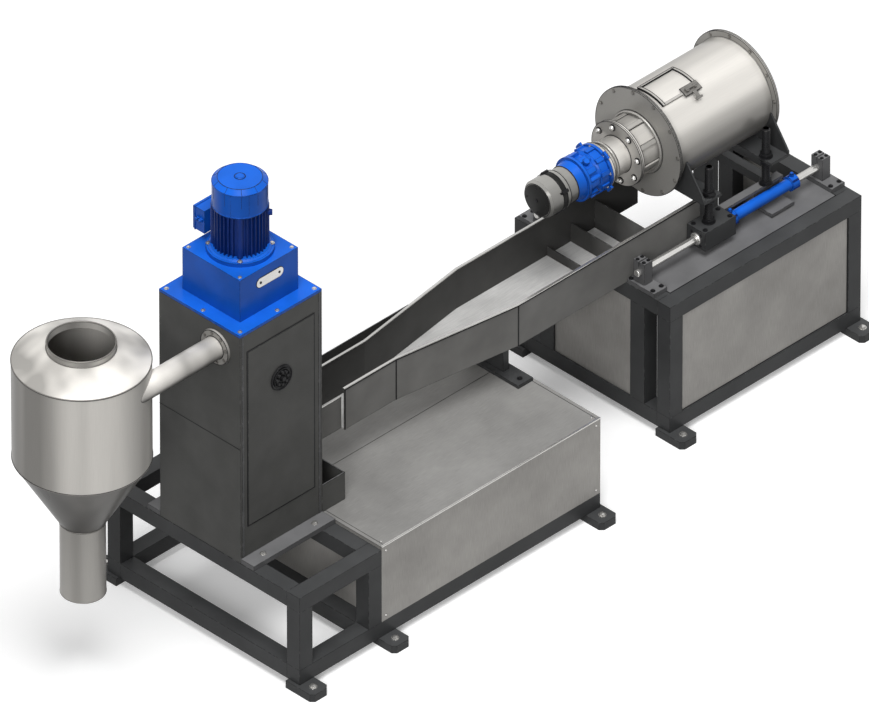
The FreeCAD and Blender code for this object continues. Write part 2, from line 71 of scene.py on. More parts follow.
class Nodes:
    """A small wrapper that adds and links shader nodes."""

    def __init__(self, name):
        self.material = bpy.data.materials.new(name)
        self.material.use_nodes = True
        self.tree = self.material.node_tree
        self.shader = self.tree.nodes["Principled BSDF"]
        self.place = self.add("ShaderNodeTexCoord").outputs["Object"]

    def add(self, kind, **values):
        node = self.tree.nodes.new(kind)
        for key, value in values.items():
            if key in node.inputs:
                node.inputs[key].default_value = value
            else:
                setattr(node, key, value)
        return node

    def link(self, start, end):
        self.tree.links.new(start, end)

    def noise(self, scale, detail=4.0, stretch=(1, 1, 1), seed=0.0):
        mapping = self.add("ShaderNodeMapping")
        mapping.inputs["Scale"].default_value = stretch
        mapping.inputs["Location"].default_value = (seed, seed, seed)
        self.link(self.place, mapping.inputs["Vector"])
        noise = self.add("ShaderNodeTexNoise", Scale=scale, Detail=detail)
        self.link(mapping.outputs["Vector"], noise.inputs["Vector"])
        return noise.outputs["Fac"]

    def rise(self):
        """0 where a surface faces down, 0.5 where it is upright and 1 where it faces up."""
        split = self.add("ShaderNodeSeparateXYZ")
        self.link(self.add("ShaderNodeNewGeometry").outputs["Normal"], split.inputs[0])
        rise = self.add("ShaderNodeMapRange")
        rise.inputs["From Min"].default_value = -1.0
        self.link(split.outputs["Z"], rise.inputs["Value"])
        return rise.outputs["Result"]

    def depth(self, near, far):
        """0 in front of the line y = near and 1 behind y = far."""
        split = self.add("ShaderNodeSeparateXYZ")
        self.link(self.place, split.inputs[0])
        depth = self.add("ShaderNodeMapRange")
        depth.inputs["From Min"].default_value, depth.inputs["From Max"].default_value = near, far
        self.link(split.outputs["Y"], depth.inputs["Value"])
        return depth.outputs["Result"]

    def ramp(self, value, low, high, start=0.3, end=0.7, middle=None):
        """A colour between low and high; middle is one more stop, as its position and colour."""
        ramp = self.add("ShaderNodeValToRGB")
        ramp.color_ramp.elements[0].position, ramp.color_ramp.elements[1].position = start, end
        ramp.color_ramp.elements[0].color = (*low, 1)
        ramp.color_ramp.elements[1].color = (*high, 1)
        if middle:
            between = ramp.color_ramp.elements.new(middle[0])
            between.color = (*middle[1], 1)
        self.link(value, ramp.inputs["Fac"])
        return ramp.outputs["Color"]

    def spread(self, value, low, high):
        spread = self.add("ShaderNodeMapRange")
        spread.inputs["To Min"].default_value, spread.inputs["To Max"].default_value = low, high
        self.link(value, spread.inputs["Value"])
        return spread.outputs["Result"]

    def mix(self, factor, first, second):
        mix = self.add("ShaderNodeMix", data_type="RGBA")
        self.link(factor, mix.inputs["Factor"])
        self.link(first, mix.inputs["A"])
        self.link(second, mix.inputs["B"])
        return mix.outputs["Result"]

    def times(self, first, second):
        product = self.add("ShaderNodeVectorMath", operation="MULTIPLY")
        self.link(first, product.inputs[0])
        self.link(second, product.inputs[1])
        return product.outputs["Vector"]

    def edges(self, radius):
        """1 along edges and creases and 0 on flats, with the rounded normal that goes with it."""
        bevel = self.add("ShaderNodeBevel", samples=4, Radius=radius)
        sharp = self.add("ShaderNodeNewGeometry").outputs["Normal"]
        dot = self.add("ShaderNodeVectorMath", operation="DOT_PRODUCT")
        self.link(bevel.outputs["Normal"], dot.inputs[0])
        self.link(sharp, dot.inputs[1])
        mask = self.add("ShaderNodeMapRange")
        mask.inputs["From Min"].default_value, mask.inputs["From Max"].default_value = 0.999, 0.90
        self.link(dot.outputs["Value"], mask.inputs["Value"])
        return mask.outputs["Result"], bevel.outputs["Normal"]

    def edge_shade_and_wear(self, radius, strength):
        """How far the edge's tone, painted shade with some pale spots, shows: strength along edges and
        creases and 0 on flats.
        """
        scaled = self.add("ShaderNodeMath", operation="MULTIPLY")
        scaled.inputs[1].default_value = strength
        self.link(self.edges(radius)[0], scaled.inputs[0])
        return scaled.outputs[0]

    def bump(self, height, strength, distance):
        """Bump over slightly rounded edges."""
        bump = self.add("ShaderNodeBump", Strength=strength, Distance=distance)
        self.link(height, bump.inputs["Height"])
        self.link(self.edges(EDGE_ROUNDING)[1], bump.inputs["Normal"])
        self.link(bump.outputs["Normal"], self.shader.inputs["Normal"])


def shade(color, factor):
    return tuple(min(1.0, c * factor) for c in color)


def even(value):
    """The grey of that value."""
    return (value,) * 3


def enamel(name, color, roughness, line=0.75, pale=0.1, edge_radius=0.006, painted_light=1.0, back=1.0):
    """Machine paint: orange peel, slight mottling, painted shade darkening creases and edges, and pale spots
    on edges that are rubbed paint and painted highlight.
    The facing factor is how much lighter what faces up is painted, as painted light, with what faces down
    painted darker as painted shade; back is how much darker the far side is painted, as painted shade."""
    n = Nodes(name)
    base = n.ramp(n.noise(5.0), shade(color, 0.86), shade(color, 1.14))
    # Painted light and shade: what faces up is made lighter and what faces down darker.
    base = n.times(base, n.ramp(n.rise(), even(0.8), even(painted_light), 0.0, 0.97, (0.55, WHITE)))
    # Painted shade: the far side is painted darker.
    if back != 1.0:
        base = n.times(base, n.ramp(n.depth(FAR_SHADE_FROM, FAR_SHADE_TO), WHITE, even(back), 0.0, 1.0))
    # Painted shade: creases and edges darken towards this dark tone, with pale spots that are rubbed paint
    # and painted highlight; line sets how far it shows.
    edge_shade_tone = shade(color, 0.15)
    edge_tone = n.ramp(n.noise(34.0), edge_shade_tone, tuple(c * (1 - pale) + 0.5 * pale for c in color), 0.52, 0.66)
    n.link(n.mix(n.edge_shade_and_wear(edge_radius, line), base, edge_tone), n.shader.inputs["Base Color"])
    n.link(n.spread(n.noise(9.0), roughness - 0.06, roughness + 0.08), n.shader.inputs["Roughness"])
    n.shader.inputs["Specular IOR Level"].default_value = 0.12
    n.bump(n.noise(260.0, 2.0), 0.12, 0.0006)
    return n.material


def brushed(name, color, roughness, stretch, metallic=0.3, line=0.6, cloud_and_sheen_depth=0.1, painted_light=False, seed=0.0,
            under=0.3):
    """Sheet metal with a directional grain and cloudy tone. With the facing switch on, what faces up is
    painted lighter, as painted light, and the cloudy tone runs in long streaks that stand for reflections,
    as painted reflection; under is how dark the surfaces that face down are painted, as painted shade."""
    n = Nodes(name)
    grain = n.noise(60.0, 6.0, stretch)
    long = tuple(0.04 if v == min(stretch) else 1.0 for v in stretch)
    # With the facing switch on, the blotches run in long streaks along the grain that stand for reflections,
    # as painted reflection; otherwise they are a random cloudy tone.
    blotches_and_sheen_bands = n.noise(3.4, 2.0, long, seed) if painted_light else n.noise(1.6, 2.0, (1, 1, 1), seed)
    cloud_and_sheen = n.ramp(blotches_and_sheen_bands, even(1 - cloud_and_sheen_depth), even(1 + cloud_and_sheen_depth), 0.36, 0.64)
    depth = 0.03 if painted_light else 0.10
    fine = n.ramp(grain, even(1 - depth), even(1 + depth))
    # Painted light and shade: what faces up is painted lighter and what faces down darker, down to under
    # times the colour.
    if painted_light:
        tone = n.ramp(n.rise(), shade(color, under), shade(color, 1.65), 0.22, 0.96, (0.52, color))
    else:
        tone = n.ramp(n.noise(7.0), shade(color, 0.93), shade(color, 1.07))
    tone = n.times(n.times(tone, cloud_and_sheen), fine)
    # Painted shade: creases and edges of the sheet darken towards this tone.
    dark = n.add("ShaderNodeRGB")
    dark.outputs[0].default_value = (*shade(color, 0.12), 1)
    n.link(n.mix(n.edge_shade_and_wear(SHEET_EDGE_SHADE, line), tone, dark.outputs[0]), n.shader.inputs["Base Color"])
    swing = 0.02 if painted_light else 0.08
    n.link(n.spread(grain, roughness - swing, roughness + swing), n.shader.inputs["Roughness"])
    n.shader.inputs["Metallic"].default_value = metallic
    n.shader.inputs["Specular IOR Level"].default_value = 0.15
    n.shader.inputs["Specular Tint"].default_value = (0.25, 0.25, 0.25, 1)
    n.bump(grain, 0.04 if painted_light else 0.10, 0.0004)
    return n.material


# A facing factor above 1 paints what faces up lighter, as painted light.
BLUE = enamel("blue_enamel", (0.006, 0.080, 0.41), 0.30, line=0.9, pale=0.03, painted_light=1.75)
NAVY = enamel("deep_blue_enamel", (0.004, 0.026, 0.17), 0.34, line=0.6, pale=0.03)
GREY = enamel("dark_grey_paint", (0.070, 0.070, 0.067), 0.46, line=0.95)
# The back value paints the launder's far wall darker, as painted shade.
LAUNDER_GREY = enamel("launder_grey_paint", (0.155, 0.153, 0.147), 0.46, line=0.95, back=0.33)
CHARCOAL = enamel("charcoal_paint", (0.041, 0.042, 0.043), 0.42, line=0.95, painted_light=1.5)
SLATE = enamel("slate_paint", (0.095, 0.095, 0.097), 0.42, line=0.95, painted_light=1.8)
BLACK = enamel("black_steel", (0.012, 0.012, 0.013), 0.36, line=0.0, pale=0.05)
CAP = enamel("cap_paint", (0.014, 0.014, 0.0135), 0.40, line=0.8, edge_radius=0.003)
STEEL = brushed("brushed_sheet", (0.32, 0.315, 0.305), 0.44, (0.25, 6, 6))
PANEL = brushed("panel_sheet", (0.31, 0.30, 0.285), 0.45, (6, 6, 0.25))
FLOOR_SHEET = brushed("launder_sheet", (0.74, 0.735, 0.72), 0.42, (0.25, 6, 6))
STAINLESS = (0.44, 0.425, 0.40)
# The seed shifts the long streaks, which stand for reflections, as painted reflection.
TURNED = brushed("turned_stainless", STAINLESS, 0.30, (6, 6, 0.12), 0.15, cloud_and_sheen_depth=0.45, painted_light=True,
                 seed=0.2, under=0.20)
ROLLED = brushed("rolled_stainless", STAINLESS, 0.30, (0.12, 6, 6), 0.25, cloud_and_sheen_depth=0.40, painted_light=True,
                 seed=0.2, under=0.60)
PLATE = brushed("flange_stainless", (0.36, 0.35, 0.33), 0.34, (3, 3, 3), cloud_and_sheen_depth=0.12, painted_light=True, under=0.5)
BRIGHT = brushed("bright_steel", (0.62, 0.61, 0.59), 0.20, (0.2, 5, 5), 0.8, line=0.5)
RIM = brushed("rim_steel", (0.26, 0.25, 0.235), 0.30, (5, 5, 5), 0.6, line=0.5)
# The long streaks on the motor grey stand for highlights, as painted highlight.
SATIN = brushed("satin_motor_grey", (0.29, 0.285, 0.27), 0.30, (0.3, 5, 5), 0.25, cloud_and_sheen_depth=0.35, painted_light=True)

FINISHES = {
    BLUE: ("motor_bonnet", "motor_flange", "motor_cowl", "motor_terminal_box", "tower_top_plate",
           "drive_gearbox", "carriage_cylinders"),
    NAVY: ("motor_fins",),
    GREY: ("tower_housing", "tower_door", "drain_box", "rear_gutter"),
    LAUNDER_GREY: ("launder_walls", "launder_weirs", "inlet_chute"),
    STEEL: ("tank_front_cover", "tank_rear_cover"),
    FLOOR_SHEET: ("launder_floor",),
    PANEL: ("tank_front_sheet", "tank_back_sheet", "tank_end_sheets", "cabinet_front_sheet",
            "cabinet_end_sheets"),
    TURNED: ("cyclone_shell", "cyclone_outlet_pipe", "transfer_pipe"),
    ROLLED: ("drum_shell", "drum_bearing_hub", "drive_neck"),
    PLATE: ("pipe_collar", "drum_flanges"),
    BRIGHT: ("guide_rods",),
    SATIN: ("drive_motor",),
    SLATE: ("cabinet_deck", "carriage_bridges", "tower_foot_bars", "rod_supports"),
}


def dress(node, material):
    mesh = NODES[node].data
    mesh.materials.clear()
    mesh.materials.append(material)


for node in NODES:
    dress(node, next((m for m, names in FINISHES.items() if node in names), CHARCOAL))


# Shapes

def facing(direction):
    """A turn that points local +Z along the direction."""
    return Vector(direction).to_track_quat("Z", "Y").to_matrix().to_4x4()


def around(degrees):
    """The level direction at that angle from +X."""
    a = math.radians(degrees)
    return Vector((math.cos(a), math.sin(a), 0))


def skin(bm, rows):
    """Closes the solid whose cross sections are the rows of corners."""
    for first, second in zip(rows, rows[1:]):
        for i in range(len(first)):
            j = (i + 1) % len(first)
            bm.faces.new((first[i], first[j], second[j], second[i]))
    bm.faces.new(rows[0])
    bm.faces.new(list(reversed(rows[-1])))


def prism(bm, place, direction, radius, high, sides=6, tip=None, turn=0.0):
    """A prism or, with a tip radius, a cone frustum that stands on place along direction."""
    matrix = Matrix.Translation(Vector(place)) @ facing(direction) @ Matrix.Rotation(turn, 4, "Z")
    matrix = matrix @ Matrix.Translation((0, 0, high / 2))
    bmesh.ops.create_cone(bm, cap_ends=True, segments=sides, radius1=radius,
                          radius2=radius if tip is None else tip, depth=high, matrix=matrix)


def bar(bm, low, high):
    """A box between two corners."""
    low, high = Vector(low), Vector(high)
    matrix = Matrix.Translation((low + high) / 2) @ Matrix.Diagonal((*(high - low), 1))
    bmesh.ops.create_cube(bm, size=1, matrix=matrix)


def lathe(bm, place, direction, section, sides=64):
    """A turned solid from (radius, height) points along direction."""
    matrix = Matrix.Translation(Vector(place)) @ facing(direction)
    rings = []
    for radius, height in section:
        rings.append([bm.verts.new(matrix @ (around(360 * i / sides) * radius + UP * height))
                      for i in range(sides)])
    skin(bm, rings)


def ring(bm, place, direction, radius, thick, sides=64, rounds=8):
    """A round bead, such as a weld or a rolled rim."""
    matrix = Matrix.Translation(Vector(place)) @ facing(direction)
    loops = []
    for i in range(sides):
        out = around(360 * i / sides)
        section = (around(360 * j / rounds) * thick for j in range(rounds))
        loops.append([bm.verts.new(matrix @ (out * (radius + spot.x) + UP * spot.y)) for spot in section])
    for i in range(sides):
        for j in range(rounds):
            k, m = (i + 1) % sides, (j + 1) % rounds
            bm.faces.new((loops[i][j], loops[k][j], loops[k][m], loops[i][m]))


def bolt(bm, place, direction, size=0.012, turn=0.3):
    """A hexagon bolt head on its washer."""
    direction = Vector(direction)
    place = Vector(place) - direction * 0.0005
    prism(bm, place, direction, size * 1.35, size * 0.25, 20)
    prism(bm, place + direction * size * 0.2, direction, size, size * 0.55, 6, turn=turn)
    prism(bm, place + direction * size * 0.74, direction, size * 0.86, size * 0.12, 18, tip=size * 0.55)


def circle(place, direction, radius, count, start=0.0):
    """Evenly spaced points on a circle round direction; the first is turned by start, in radians."""
    matrix = Matrix.Translation(Vector(place)) @ facing(direction)
    first = math.degrees(start)
    return [matrix @ (around(first + 360 * i / count) * radius) for i in range(count)]


def piece(name, bm, body, material, bevel=0.0):
    """Makes a mesh object from bm, shades it by angle and lets it ride on its body."""
    bmesh.ops.recalc_face_normals(bm, faces=bm.faces)
    mesh = bpy.data.meshes.new(name)
    bm.to_mesh(mesh)
    bm.free()
    mesh.materials.append(material)
    made = bpy.data.objects.new(name, mesh)
    bpy.context.scene.collection.objects.link(made)
    if bevel:
        rounding = made.modifiers.new("rounding", "BEVEL")
        rounding.width, rounding.segments, rounding.limit_method = bevel, 2, "ANGLE"
    mesh.shade_smooth()
    mesh.set_sharp_from_angle(angle=math.radians(35))
    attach(made, body)
    return made


def box(node):
    """The lowest and highest corners of a node."""
    low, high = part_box(node)
    return Vector(low), Vector(high)


def centre_of(node):
    low, high = box(node)
    return (low + high) / 2


def inset_corners(node, inset):
    """The four upper corners of a node, moved in by inset."""
    low, high = box(node)
    return [Vector((x, y, high.z)) for x in (low.x + inset, high.x - inset)
            for y in (low.y + inset, high.y - inset)]


# Frames and feet

FOOT_WIDE, FOOT_HOLE_IN, FOOT_TOP = 0.12, 0.055, 0.045
FEET_LEFTS = {"frame_feet": (0.0, 0.575, 2.04), "cabinet_feet": (0.0, 1.29)}


def feet_bolts():
    bm = bmesh.new()
    for node, lefts in FEET_LEFTS.items():
        low, high = box(node)
        for left in lefts:
            x = low.x + left + FOOT_WIDE / 2
            for y in (low.y + FOOT_HOLE_IN, high.y - FOOT_HOLE_IN):
                bolt(bm, (x, y, FOOT_TOP), UP, 0.016)
    piece("foot_anchor_bolts", bm, "base", BRIGHT)


# Tower and its motor

PLATE_BOLT, PLATE_BOLT_IN, PLATE_BOLT_REACH = 0.009, 0.026, 0.259
SEAM_LEVEL, SEAM_HIGH, SEAM_PROUD = 1.275, 0.004, 0.0012
# The door's sides from the housing's left side, the levels of its edges, and its thickness
DOOR_LEFT, DOOR_RIGHT, DOOR_LOW, DOOR_HIGH, DOOR_THICK = 0.052, 0.512, 0.790, 1.850, 0.004
GASKET_WIDE, GASKET_PROUD = 0.006, 0.003
KNOB_X, KNOB_Z = 0.283, 1.583


def tower_details():
    low, high = box("tower_housing")
    tower_bolts(low, high)
    seam, front = bmesh.new(), low.y
    seam_top = SEAM_LEVEL + SEAM_HIGH
    bar(seam, (low.x - SEAM_PROUD, low.y, SEAM_LEVEL), (low.x, high.y, seam_top))
    bar(seam, (high.x, low.y, SEAM_LEVEL), (high.x + SEAM_PROUD, high.y, seam_top))
    bar(seam, (low.x, high.y, SEAM_LEVEL), (high.x, high.y + SEAM_PROUD, seam_top))
    door_low = Vector((low.x + DOOR_LEFT, front - DOOR_THICK, DOOR_LOW))
    door_high = Vector((low.x + DOOR_RIGHT, front, DOOR_HIGH))
    sheet = bmesh.new()
    bar(sheet, door_low, door_high)
    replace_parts(piece("door_sheet", sheet, "base", GREY, bevel=0.0015), "tower_door")
    y = front - GASKET_PROUD
    for x in (door_low.x - GASKET_WIDE, door_high.x):
        bar(seam, (x, y, DOOR_LOW - GASKET_WIDE), (x + GASKET_WIDE, front, DOOR_HIGH + GASKET_WIDE))
    for z in (DOOR_LOW - GASKET_WIDE, DOOR_HIGH):
        bar(seam, (door_low.x, y, z), (door_high.x, front, z + GASKET_WIDE))
    piece("tower_seams", seam, "base", BLACK)
    folds, fold = bmesh.new(), 0.012
    for x in (low.x + fold, high.x - 2 * fold):
        bar(folds, (x, low.y - 0.0022, low.z + 0.03), (x + fold, low.y, high.z - 0.004))
    piece("tower_corner_folds", folds, "base", SLATE, bevel=0.0008)


def tower_bolts(low, high):
    """Bolts of the top plate, the bonnet and the foot bars."""
    bolts = bmesh.new()
    for spot in inset_corners("tower_top_plate", PLATE_BOLT_IN):
        bolt(bolts, spot, UP, PLATE_BOLT)
    mid, reach = centre_of("tower_top_plate"), PLATE_BOLT_REACH
    mid.z = box("tower_top_plate")[1].z
    for side in (EAST, WEST, NORTH, SOUTH):
        bolt(bolts, mid + side * reach, UP, PLATE_BOLT)
    for spot in inset_corners("motor_bonnet", 0.022):
        bolt(bolts, spot, UP, 0.008)
    for x in (low.x + 0.11, low.x + 0.47):
        for y in (low.y - 0.046, high.y + 0.046):
            bolt(bolts, (x, y, box("tower_foot_bars")[1].z), UP, 0.013)
    piece("tower_bolts", bolts, "base", BRIGHT)


def star_knob():
    """The round black vent knob near the top of the door."""
    place = Vector((KNOB_X, box("tower_door")[0].y, KNOB_Z))
    rim = [(0.072, -0.002), (0.072, 0.004), (0.067, 0.007), (0.06, 0.004), (0.01, 0.004)]
    bm = bmesh.new()
    lathe(bm, place, SOUTH, rim, 48)
    prism(bm, place, SOUTH, 0.016, 0.024, 24, tip=0.012)
    petals = 8
    for i in range(petals):
        a = math.pi * 2 * i / petals
        out = Vector((math.cos(a), 0, math.sin(a)))
        prism(bm, place + out * 0.036, SOUTH, 0.014, 0.016, 16, tip=0.008)
    for radius in (0.067, 0.052, 0.022):
        ring(bm, place + SOUTH * 0.007, SOUTH, radius, 0.0035, 48)
    piece("door_vent_knob", bm, "base", BLACK)


def slab(bm, middle, long, high, thick, steps=12):
    """An upright plate with round ends that faces the front."""
    outline, radius = [], high / 2
    for end, first in ((1, -math.pi / 2), (-1, math.pi / 2)):
        for i in range(steps + 1):
            a = first + math.pi * i / steps
            outline.append(middle + Vector((end * long / 2 + radius * math.cos(a), 0, radius * math.sin(a))))
    back = [bm.verts.new(v) for v in outline]
    front = [bm.verts.new(v + SOUTH * thick) for v in outline]
    bm.faces.new(back)
    bm.faces.new(list(reversed(front)))
    for i in range(len(outline)):
        j = (i + 1) % len(outline)
        bm.faces.new((back[i], front[i], front[j], back[j]))


def blank_plate():
    """A blank oblong plate on the bonnet's front, with its shadow line and two screws."""
    long, high, thick = 0.130, 0.055, 0.003
    place = centre_of("motor_bonnet") + Vector((0.005, 0, 0.045))
    place.y = box("motor_bonnet")[0].y
    plate = bmesh.new()
    slab(plate, place, long, high, thick)
    piece("blank_plate", plate, "base", BRIGHT)
    rim = bmesh.new()
    slab(rim, place, long, high + 0.006, thick / 2)
    for end in (-1, 1):
        prism(rim, place + EAST * end * long / 2 + SOUTH * thick, SOUTH, 0.007, 0.002, 16)
    piece("plate_shadow_rim", rim, "base", BLACK)


# Radii of the fan cowl below and above its bevelled rim, the bevel's height, and its facets
COWL_SIDE, COWL_CAP, COWL_BEVEL, COWL_FACETS = 0.1412, 0.1132, 0.024, 10


def cowl_details():
    low, high = box("motor_cowl")
    mid = centre_of("motor_fins")
    axis = Vector((mid.x, mid.y, 0))
    ribs = bmesh.new()
    for radius, level, thick in ((0.140, low.z + 0.006, 0.0035), (0.1395, high.z - 0.0235, 0.003),
                                 (0.1115, high.z - 0.001, 0.0025)):
        ring(ribs, axis + UP * level, UP, radius, thick, 72)
    button = [(0.026, 0), (0.026, 0.005), (0.021, 0.0095), (0.006, 0.0095)]
    lathe(ribs, axis + UP * (high.z - 0.004), UP, button, 32)
    for turn in (-135, 45):
        out = around(turn)
        side = Vector((-out.y, out.x, 0))
        for edge in (-1, 1):
            foot = axis + out * 0.129 + side * 0.045 * edge + UP * low.z
            prism(ribs, foot, UP, 0.005, high.z - low.z - 0.028, 10)
    piece("cowl_ribs", ribs, "base", BLUE)
    seams = bmesh.new()
    for i in range(COWL_FACETS):
        out = around(360 * (i + 0.35) / COWL_FACETS)
        foot = axis + out * COWL_SIDE + UP * (high.z - COWL_BEVEL)
        head = axis + out * COWL_CAP + UP * high.z
        prism(seams, foot, head - foot, 0.0012, (head - foot).length, 6)
        prism(seams, foot - UP * 0.075, UP, 0.0008, 0.075, 6)
    ring(seams, axis + UP * (high.z - COWL_BEVEL), UP, COWL_SIDE, 0.0012, 72, 6)
    ring(seams, axis + UP * high.z, UP, COWL_CAP, 0.0012, 72, 6)
    ring(seams, axis + UP * (high.z + 0.001), UP, 0.028, 0.0015, 32, 6)
    piece("cowl_seams", seams, "base", BLACK)


def motor_details():
    mid = centre_of("motor_fins")
    flange_top = box("motor_flange")[1].z
    bolts = bmesh.new()
    for spot in circle((mid.x, mid.y, flange_top - 0.004), UP, 0.158, 4, math.pi / 4):
        bolt(bolts, spot, UP, 0.010)
    piece("flange_bolts", bolts, "base", BRIGHT)
    cowl_details()
    lugs = bmesh.new()
    low, high = box("motor_fins")
    for turn in (-45, 45, 135, 225):
        prism(lugs, Vector((mid.x, mid.y, low.z)) + around(turn) * 0.133, UP, 0.013, high.z - low.z, 12)
    plug = Vector((mid.x + 0.095, mid.y - 0.095, high.z - 0.055))
    prism(lugs, plug, around(-45), 0.019, 0.026, 24, tip=0.015)
    piece("barrel_tie_lugs", lugs, "base", NAVY)
    low, high = box("motor_terminal_box")
    lid, lip = bmesh.new(), 0.004
    bar(lid, (low.x - lip, high.y - 0.018, low.z - lip), (high.x + lip, high.y - 0.012, high.z + lip))
    for y in (high.y - 0.058, high.y - 0.034):
        prism(lid, (low.x + 0.001, y, low.z + 0.075), WEST, 0.014, 0.012, 6)
        prism(lid, (low.x - 0.011, y, low.z + 0.075), WEST, 0.010, 0.008, 20, tip=0.007)
    piece("terminal_box_lid_and_glands", lid, "base", BLUE, bevel=0.001)


# Cyclone and transfer pipe

# Radius, level and thickness of each bead, from the neck's rim down to the outlet
CYCLONE_BEADS = ((0.1725, 2.050, 0.0045), (0.1755, 2.018, 0.003), (0.3495, 1.945, 0.003),
                 (0.3495, 1.365, 0.003), (0.1175, 0.961, 0.003), (0.1145, 0.5305, 0.003))
# Radius and level of each dark joint line
CYCLONE_LINES = ((0.1172, 0.958), (0.1765, 2.014), (0.3505, 1.941), (0.3505, 1.368))


def cyclone_details():
    mid = centre_of("cyclone_shell")
    beads, lines, bolts = bmesh.new(), bmesh.new(), bmesh.new()
    for radius, level, thick in CYCLONE_BEADS:
        ring(beads, (mid.x, mid.y, level), UP, radius, thick, 96)
    piece("cyclone_beads", beads, "base", RIM)
    low, high = box("pipe_collar")
    collar = (low + high) / 2
    for spot in circle((low.x, collar.y, collar.z), WEST, 0.082, 8, 0.2):
        bolt(bolts, spot, WEST, 0.008)
    for x, radius in ((low.x, 0.064), (low.x, 0.0955), (high.x, 0.096)):
        ring(lines, (x, collar.y, collar.z), WEST, radius, 0.0022, 48, 6)
    for radius, level in CYCLONE_LINES:
        ring(lines, (mid.x, mid.y, level), UP, radius, 0.0016, 96, 6)
    piece("stainless_joint_lines", lines, "base", BLACK)
    piece("collar_bolts", bolts, "base", RIM)


# Tank and launder

def tank_details():
    low, high = box("tank_front_sheet")
    cover = box("tank_front_cover")[1]
    top, seam_y, fold = cover.z, cover.y, 0.002
    trim, seam, screws = bmesh.new(), bmesh.new(), bmesh.new()
    bar(trim, (low.x, low.y - fold, top - 0.006), (high.x, low.y, top + fold))
    bar(trim, (low.x, low.y, top), (high.x, low.y + 0.008, top + fold))
    piece("tank_front_edge", trim, "base", BRIGHT)
    bar(seam, (low.x, seam_y, top - 0.004), (high.x, seam_y + 0.002, top + 0.0006))
    bar(seam, (high.x - 0.022, low.y + 0.01, top), (high.x - 0.0195, seam_y, top + 0.0007))
    bar(seam, (low.x + 0.0195, low.y + 0.01, top), (low.x + 0.022, seam_y, top + 0.0007))
    piece("tank_cover_seams", seam, "base", BLACK)
    for x in (low.x + 0.03, high.x - 0.03):
        for z in (low.z + 0.03, top - 0.035):
            prism(screws, (x, low.y, z), SOUTH, 0.007, 0.003, 16, tip=0.004)
        for y in (low.y + 0.035, seam_y - 0.03):
            prism(screws, (x, y, top), UP, 0.007, 0.003, 16, tip=0.004)
    piece("tank_screws", screws, "base", BRIGHT)
    low, high = box("launder_stand")
    bolts, stand_bar_top = bmesh.new(), 0.62
    for y in (low.y + 0.04, high.y - 0.04):
        bolt(bolts, (low.x + 0.05, y, stand_bar_top), UP, 0.011)
    piece("stand_bolts", bolts, "base", BLACK)


# Outside half widths of the launder along X
LAUNDER = [(0.930, 0.113), (1.290, 0.113), (2.045, 0.222), (3.340, 0.222)]
LAUNDER_AXIS, LAUNDER_TOP, LAUNDER_LOW = 0.730, 1.070, 0.820
JOINT_TOP = LAUNDER_TOP - 0.003


def strip(bm, path, low, high, inner, outer, sign):
    """A strip that follows a launder wall, from inner to outer off its outside face."""
    rows = []
    for x, half in path:
        near, far = (LAUNDER_AXIS + sign * (half + off) for off in (inner, outer))
        corners = ((near, low), (far, low), (far, high), (near, high))
        rows.append([bm.verts.new((x, y, z)) for y, z in corners])
    skin(bm, rows)


def open_rim(name, node, wide, sides):
    """A flat rim on the upper edges of an open box, on the named sides."""
    low, high = box(node)
    rim = bmesh.new()
    edges = {"front": ((low.x, low.y), (high.x, low.y + wide)),
             "back": ((low.x, high.y - wide), (high.x, high.y)),
             "right": ((high.x - wide, low.y), (high.x, high.y))}
    for side in sides:
        first, last = edges[side]
        bar(rim, (*first, high.z), (*last, high.z + 0.002))
    piece(name, rim, "base", SLATE)


def launder_details():
    rims, joints = bmesh.new(), bmesh.new()
    for sign in (-1, 1):
        strip(rims, LAUNDER, LAUNDER_TOP - 0.002, LAUNDER_TOP + 0.003, -0.013, 0.001, sign)
        strip(joints, LAUNDER, LAUNDER_TOP - 0.008, JOINT_TOP, 0.0, 0.003, sign)
        for x, half in LAUNDER[:3]:
            y = LAUNDER_AXIS + sign * half
            low_y, high_y = sorted((y, y + sign * 0.003))
            bar(joints, (x, low_y, LAUNDER_LOW), (x + 0.006, high_y, JOINT_TOP))
    piece("launder_rims", rims, "base", BRIGHT)
    piece("launder_joints", joints, "base", BLACK)
    lips, wall = bmesh.new(), 0.006
    low, high = box("inlet_chute")
    for y in (low.y, high.y - wall):
        bar(lips, (low.x, y, high.z), (high.x, y + wall, high.z + 0.003))
    bar(lips, (high.x - 0.06, low.y + wall, low.z + wall), (high.x, high.y - wall, low.z + 0.009))
    piece("chute_lips", lips, "base", BRIGHT)
    open_rim("drain_box_rim", "drain_box", wall, ("front", "back", "right"))
    open_rim("gutter_rim", "rear_gutter", 0.005, ("back", "right", "front"))


# Cabinet, rods and carriage

ROD_LEVEL, ROD_RADIUS, SUPPORT_PLATE_TOP = 0.91, 0.02, 0.845
CAP_SECTION = [(0.0195, -0.001), (0.0195, 0.003), (0.016, 0.006), (0.005, 0.006)]
WIPER_SECTION = [(0.034, -0.001), (0.034, 0.006), (0.030, 0.010), (0.0215, 0.010)]
BLOCK_WIDE, BLOCK_BOLT_IN = 0.128, 0.022
# Radius of the cylinders' heads, and half the length of a head
CYLINDER_RADIUS, HALF_HEAD = 0.04, 0.0225


